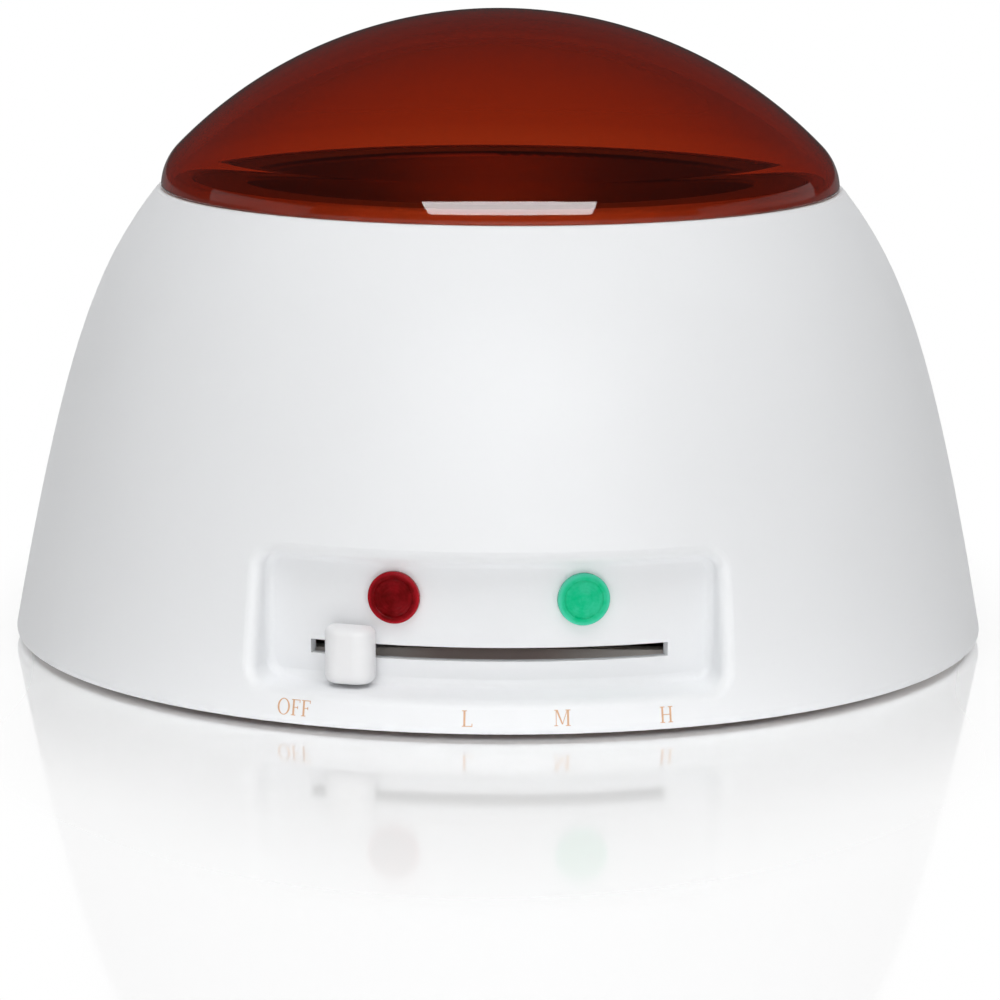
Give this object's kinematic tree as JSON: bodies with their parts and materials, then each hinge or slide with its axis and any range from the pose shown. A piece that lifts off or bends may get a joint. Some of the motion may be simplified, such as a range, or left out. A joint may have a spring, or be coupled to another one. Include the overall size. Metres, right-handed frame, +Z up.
{
  "type": "wax warmer",
  "caption": "Round domed wax warmer with a heated well, lift-off see-through lid, slide heat control with lettered settings and red and green indicator lenses.",
  "frame": {"origin": "centre of the footprint, on the surface that the feet stand on", "axes": "+Z up along the housing's upright axis; the control panel faces -Y; +X is to the right as seen from the front"},
  "size_m": [0.2008, 0.2008, 0.1293],
  "materials": {
    "lid_amber": "polished see-through amber plastic",
    "housing_white": "glossy moulded white",
    "cover_taupe": "fine textured moulded grey-brown",
    "pot_aluminium": "spun, dull",
    "silicone": "matt",
    "plated_steel": "zinc plated",
    "screw_steel": "zinc plated",
    "heater_mica": "mica and foil",
    "insulation_wool": "matt fibre",
    "brass_parts": "bright",
    "thermostat_ceramic": "unglazed ceramic body",
    "knob_white": "satin moulded white",
    "fuse_case": "plain",
    "lens_red": "polished red plastic",
    "lens_green": "polished green plastic",
    "lamp_glass": "clear glass",
    "board_brown": "phenolic board",
    "resistor_tan": "lacquered",
    "feet_rubber": "matt",
    "gland_white": "soft moulded white",
    "terminal_nylon": "natural nylon",
    "lead_glassfibre": "glass-fibre sleeve",
    "lead_black": "insulated"
  },
  "bodies": {
    "base": {"housing": "housing_white", "bottom_cover": "cover_taupe", "pot": "pot_aluminium", "pot_seal": "silicone", "pot_bracket": "plated_steel", "bracket_screws": "screw_steel", "heater_band": "heater_mica", "insulation_sleeve": "insulation_wool", "heat_shield": "plated_steel", "heater_terminals": "brass_parts", "thermostat": "thermostat_ceramic", "thermostat_screws": "screw_steel", "thermal_fuse": "fuse_case", "fuse_clip": "plated_steel", "red_lens": "lens_red", "green_lens": "lens_green", "red_lamp": "lamp_glass", "green_lamp": "lamp_glass", "lamp_board": "board_brown", "board_screws": "screw_steel", "lamp_resistors": "resistor_tan", "cover_screws": "screw_steel", "feet": "feet_rubber", "cord_gland": "gland_white", "cord_clamp": "terminal_nylon", "clamp_screws": "screw_steel", "terminal_block": "terminal_nylon", "block_screws": "screw_steel", "terminal_screws": "brass_parts", "heater_leads": "lead_glassfibre", "lamp_leads": "lead_black"},
    "lid": {"lid": "lid_amber"},
    "control": {"control_shaft": "brass_parts", "control_arm": "plated_steel", "arm_screw": "screw_steel", "slide_knob": "knob_white"}
  },
  "joints": [
    {"name": "lid_lift", "type": "slide", "parent": "base", "child": "lid", "axis": [0, 0, 1], "range_m": [0, 0.08]},
    {"name": "heat_control", "type": "hinge", "parent": "base", "child": "control", "pos_m": [0, 0, 0.0142], "axis": [0, 0, 1], "range_deg": [-4.02, 36.82]}
  ]
}
